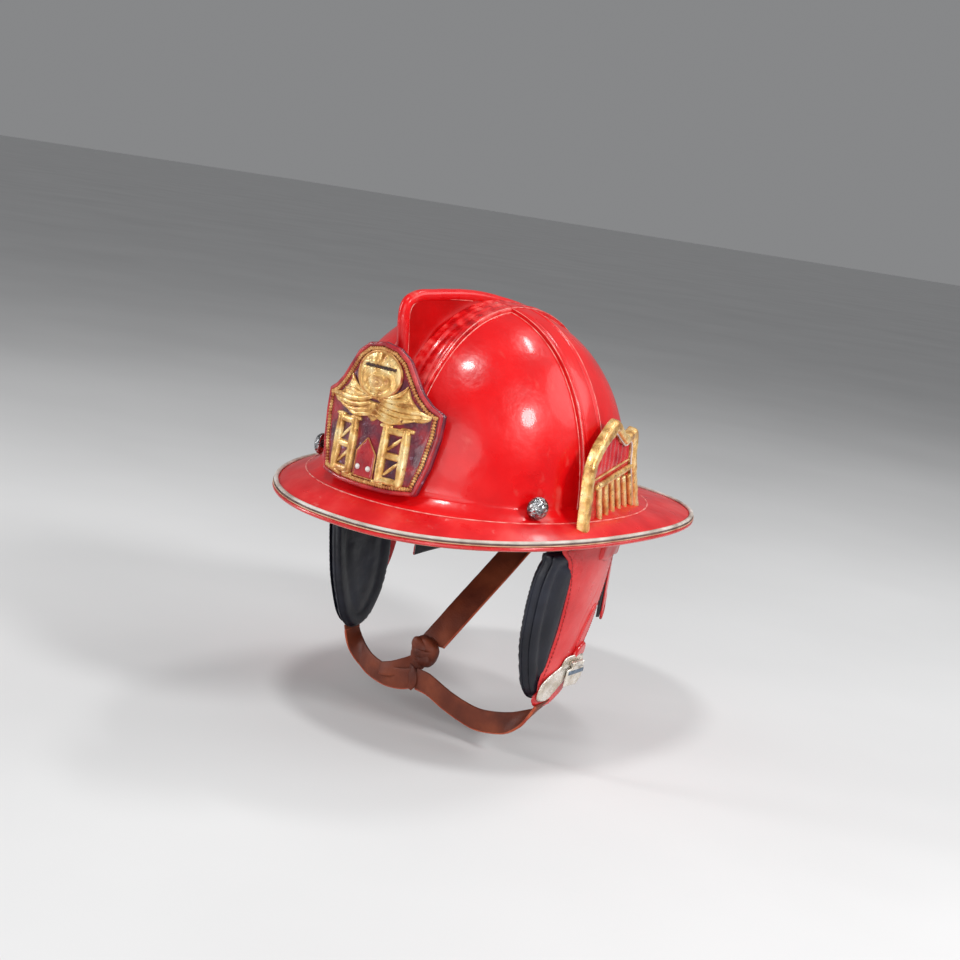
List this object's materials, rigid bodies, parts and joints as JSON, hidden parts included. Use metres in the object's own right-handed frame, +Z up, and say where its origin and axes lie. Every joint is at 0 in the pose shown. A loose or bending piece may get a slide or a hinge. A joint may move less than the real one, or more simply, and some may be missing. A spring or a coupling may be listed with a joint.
{
  "type": "firefighter helmet",
  "caption": "Wide-brim traditional fire helmet with comb, front shield, side badges, hinged ear flaps, leather chin strap with clasp, neck guard and ratchet headband.",
  "frame": {"origin": "centre of the head opening, level with the brim's edge", "axes": "+Z up through the crown, -Y to the front shield, +X to the wearer's left"},
  "size_m": [0.294, 0.3709, 0.337],
  "materials": {
    "shell_red": "high gloss red lacquer, lightly worn",
    "piping_pale": "worn pale piping",
    "bumper_red": "satin red bead",
    "liner_foam": "moulded foam",
    "webbing_black": "woven tape",
    "harness_plastic": "moulded nylon",
    "brow_leather": "soft padded leather",
    "shield_leather": "embossed red leather with dark patina",
    "gold_relief": "aged gold",
    "rivet_pale": "pale enamel",
    "steel": "zinc plated",
    "knob_silver": "hammered",
    "badge_red": "red enamel",
    "pad_black": "satin black vinyl leather",
    "cover_red": "glossy red leather",
    "backing_board": "fibre board",
    "clasp_silver": "worn bright plate",
    "strap_brown": "oiled brown leather"
  },
  "bodies": {
    "helmet": {"shell": "shell_red", "comb": "shell_red", "brim_piping": "piping_pale", "brim_bumper": "bumper_red", "impact_liner": "liner_foam", "crown_straps": "webbing_black", "headband": "harness_plastic", "sweatband": "brow_leather", "headband_clips": "webbing_black", "ratchet_housing": "harness_plastic", "shield_plate": "shield_leather", "shield_rim": "shield_leather", "shield_border": "gold_relief", "shield_medallion": "gold_relief", "shield_scroll": "gold_relief", "shield_ornament_right": "gold_relief", "shield_ornament_left": "gold_relief", "shield_pennant": "shield_leather", "shield_rivets": "rivet_pale", "shield_stem": "steel", "side_knob_left": "knob_silver", "side_knob_right": "knob_silver", "side_knob_nut_left": "steel", "side_knob_nut_right": "steel", "badge_frame_left": "gold_relief", "badge_frame_right": "gold_relief", "badge_plate_left": "badge_red", "badge_plate_right": "badge_red", "badge_pillars_left": "gold_relief", "badge_pillars_right": "gold_relief", "flap_hanger_left": "steel", "flap_hanger_right": "steel", "flap_pin_left": "steel", "flap_pin_right": "steel", "hanger_rivets_left": "steel", "hanger_rivets_right": "steel", "neck_guard_lining": "pad_black", "neck_guard_cover": "cover_red", "nape_strap": "strap_brown"},
    "ratchet_knob": {"ratchet_knob": "harness_plastic"},
    "left_flap": {"ear_pad_left": "pad_black", "flap_backing_left": "backing_board", "flap_cover_left": "cover_red", "flap_loop_left": "cover_red", "flap_tongue_left": "cover_red", "clasp_base": "clasp_silver", "clasp_pin": "clasp_silver"},
    "clasp_lever": {"clasp_lever": "clasp_silver"},
    "right_flap": {"ear_pad_right": "pad_black", "flap_backing_right": "backing_board", "flap_cover_right": "cover_red", "flap_loop_right": "cover_red", "flap_tongue_right": "cover_red", "chin_strap_right": "strap_brown", "strap_knot": "strap_brown"},
    "chin_strap": {"chin_strap_left": "strap_brown"}
  },
  "joints": [
    {"name": "ratchet_turn", "type": "hinge", "parent": "helmet", "child": "ratchet_knob", "pos_m": [0, 0.1, -0.005], "axis": [0, 1, 0], "range_deg": [-180, 180]},
    {"name": "left_flap_hinge", "type": "hinge", "parent": "helmet", "child": "left_flap", "pos_m": [0.106, -0.012, -0.006], "axis": [0, -1, 0], "range_deg": [0, 25]},
    {"name": "clasp_lever_hinge", "type": "hinge", "parent": "left_flap", "child": "clasp_lever", "pos_m": [0.11299, 0.007, -0.1082], "axis": [0, -1, 0], "range_deg": [0, 75]},
    {"name": "right_flap_hinge", "type": "hinge", "parent": "helmet", "child": "right_flap", "pos_m": [-0.106, -0.012, -0.006], "axis": [0, 1, 0], "range_deg": [0, 25]},
    {"name": "chin_strap_drop", "type": "hinge", "parent": "right_flap", "child": "chin_strap", "pos_m": [-0.01125, -0.0311, -0.1638], "axis": [0, 1, 0], "range_deg": [0, 60]}
  ]
}
